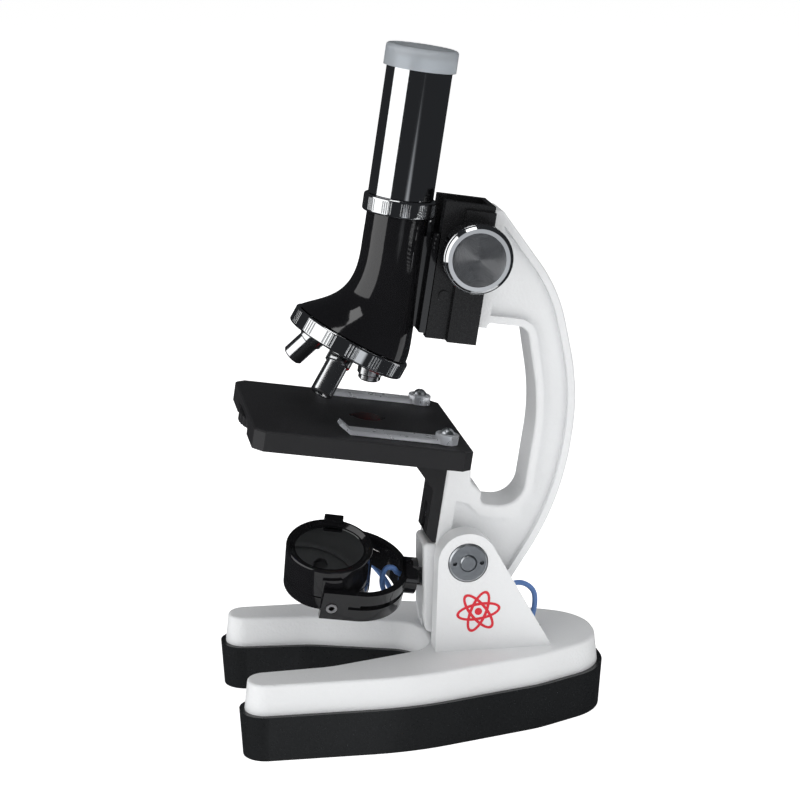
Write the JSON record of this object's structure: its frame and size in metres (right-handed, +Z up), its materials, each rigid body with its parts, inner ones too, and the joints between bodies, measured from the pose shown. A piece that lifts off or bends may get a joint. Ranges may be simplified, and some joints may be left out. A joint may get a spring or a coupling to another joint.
{
  "type": "toy compound microscope",
  "caption": "Child's compound microscope: tilting C-arm on a horseshoe base, rack-focused barrel with objective turret, stage with clips and filter wheel, flip-over lamp and mirror",
  "frame": {"origin": "on the table, under the middle of the base's outline", "axes": "+X to the microscope's left-hand side, -Y towards the toes of the base, +Z up"},
  "size_m": [0.082, 0.1264, 0.2237],
  "materials": {
    "white_paint": "satin white paint on a fine-grained casting",
    "black_satin": "black satin plastic",
    "black_matte": "matte black plastic",
    "black_semigloss": "half-gloss black",
    "black_gloss": "glossy black",
    "chrome": "polished chrome plating",
    "spun_chrome": "plating with fine spun rings",
    "zinc": "zinc-plated steel",
    "spring_steel": "bare steel",
    "brass": "machined brass",
    "cell_jacket": "plain printed-film jacket without lettering",
    "black_rubber": "soft black rubber",
    "washer_nylon": "natural nylon",
    "blue_cord": "blue flexible insulation",
    "red_filter": "tinted clear film",
    "yellow_filter": "tinted clear film",
    "green_filter": "tinted clear film",
    "blue_filter": "tinted clear film",
    "smoky_clear": "see-through smoky plastic",
    "clear_glass": "clear lens",
    "frosted_cap": "frosted half-clear plastic",
    "frosted_window": "frosted window",
    "silvered_mirror": "silvered glass",
    "diode": "clear diode dome",
    "board": "circuit board"
  },
  "bodies": {
    "base": {"base_casting": "white_paint", "base_boot": "black_satin", "battery_door": "black_satin", "battery_door_screw": "zinc", "base_screws": "zinc", "battery_cells": "cell_jacket", "battery_contacts": "spring_steel", "base_grommet": "black_rubber", "hinge_pin": "zinc", "hinge_nuts": "zinc", "friction_washers": "washer_nylon", "lamp_lead_rear": "blue_cord"},
    "arm": {"arm_casting": "white_paint", "stage": "black_matte", "stage_screw": "zinc", "filter_wheel_rivet": "zinc", "clip_screws": "zinc", "focus_housing": "black_semigloss", "housing_screws": "zinc"},
    "filter_wheel": {"filter_wheel": "black_matte", "filter_red": "red_filter", "filter_yellow": "yellow_filter", "filter_green": "green_filter", "filter_blue": "blue_filter"},
    "clip_left": {"clip_left": "smoky_clear"},
    "clip_right": {"clip_right": "smoky_clear"},
    "knobs": {"pinion_shaft": "spring_steel", "pinion": "brass", "focus_knob_left": "chrome", "focus_knob_right": "chrome", "knob_faces": "spun_chrome"},
    "head": {"head_slide": "black_gloss", "focus_rack": "black_gloss", "head_barrel": "black_gloss", "inner_tube": "black_semigloss", "field_lens": "clear_glass", "turret_axle": "spring_steel", "click_spring": "spring_steel"},
    "zoom_ring": {"zoom_ring": "chrome"},
    "draw_tube": {"draw_tube": "chrome", "eyepiece_shell": "black_semigloss", "eye_lens": "clear_glass", "lens_stop": "black_matte"},
    "dust_cap": {"dust_cap": "frosted_cap"},
    "turret": {"turret_ring": "chrome", "turret_plate": "black_semigloss", "objective_low": "chrome", "objective_high": "chrome", "objective_mid": "chrome", "objective_lenses": "clear_glass"},
    "yoke": {"yoke": "black_gloss", "yoke_retainer": "spring_steel", "yoke_pins": "spring_steel", "lamp_lead_front": "blue_cord"},
    "lamp": {"lamp_drum": "black_gloss", "mirror_bezel": "black_gloss", "lamp_mirror": "silvered_mirror", "lamp_lens": "frosted_window", "led": "diode", "led_board": "board"}
  },
  "joints": [
    {"name": "arm_tilt", "type": "hinge", "parent": "base", "child": "arm", "pos_m": [0, 0.01405, 0.0554], "axis": [-1, 0, 0], "range_deg": [-8.5, 60], "deforming": ["lamp_lead_rear"]},
    {"name": "focus_slide", "type": "slide", "parent": "arm", "child": "head", "axis": [0, 0.1495, 0.9888], "range_m": [-0.0024, 0.012]},
    {"name": "focus_knob_turn", "type": "hinge", "parent": "arm", "child": "knobs", "pos_m": [0, 0.01597, 0.15706], "axis": [-1, 0, 0], "range_deg": [-34, 165]},
    {"name": "turret_turn", "type": "hinge", "parent": "head", "child": "turret", "pos_m": [0, -0.02397, 0.12497], "axis": [0, 0.4909, 0.8712], "continuous": true},
    {"name": "draw_tube_slide", "type": "slide", "parent": "head", "child": "draw_tube", "axis": [0, 0.1495, 0.9888], "range_m": [0, 0.022]},
    {"name": "zoom_ring_turn", "type": "hinge", "parent": "head", "child": "zoom_ring", "pos_m": [0, -0.00598, 0.1717], "axis": [0, 0.1495, 0.9888], "range_deg": [-45, 45]},
    {"name": "dust_cap_lift", "type": "slide", "parent": "draw_tube", "child": "dust_cap", "axis": [0, 0.1495, 0.9888], "range_m": [0, 0.012]},
    {"name": "filter_wheel_turn", "type": "hinge", "parent": "arm", "child": "filter_wheel", "pos_m": [0, -0.03451, 0.10077], "axis": [0, 0.1495, 0.9888], "continuous": true},
    {"name": "clip_left_swing", "type": "hinge", "parent": "arm", "child": "clip_left", "pos_m": [0.0256, 0.00491, 0.09926], "axis": [0, 0.1495, 0.9888], "range_deg": [-25, 60]},
    {"name": "clip_right_swing", "type": "hinge", "parent": "arm", "child": "clip_right", "pos_m": [-0.0256, 0.00491, 0.09926], "axis": [0, 0.1495, 0.9888], "range_deg": [-60, 25]},
    {"name": "yoke_swivel", "type": "hinge", "parent": "arm", "child": "yoke", "pos_m": [0, 0.00246, 0.04562], "axis": [0, 0.9888, -0.1495], "range_deg": [-65, 24]},
    {"name": "lamp_flip", "type": "hinge", "parent": "yoke", "child": "lamp", "pos_m": [-0.00091, -0.03014, 0.04809], "axis": [0.9367, -0.0524, -0.3463], "range_deg": [-25, 180]}
  ],
  "couplings": [
    {"joint": "focus_knob_turn", "follows": "focus_slide", "rad_per_m": 238.1}
  ]
}
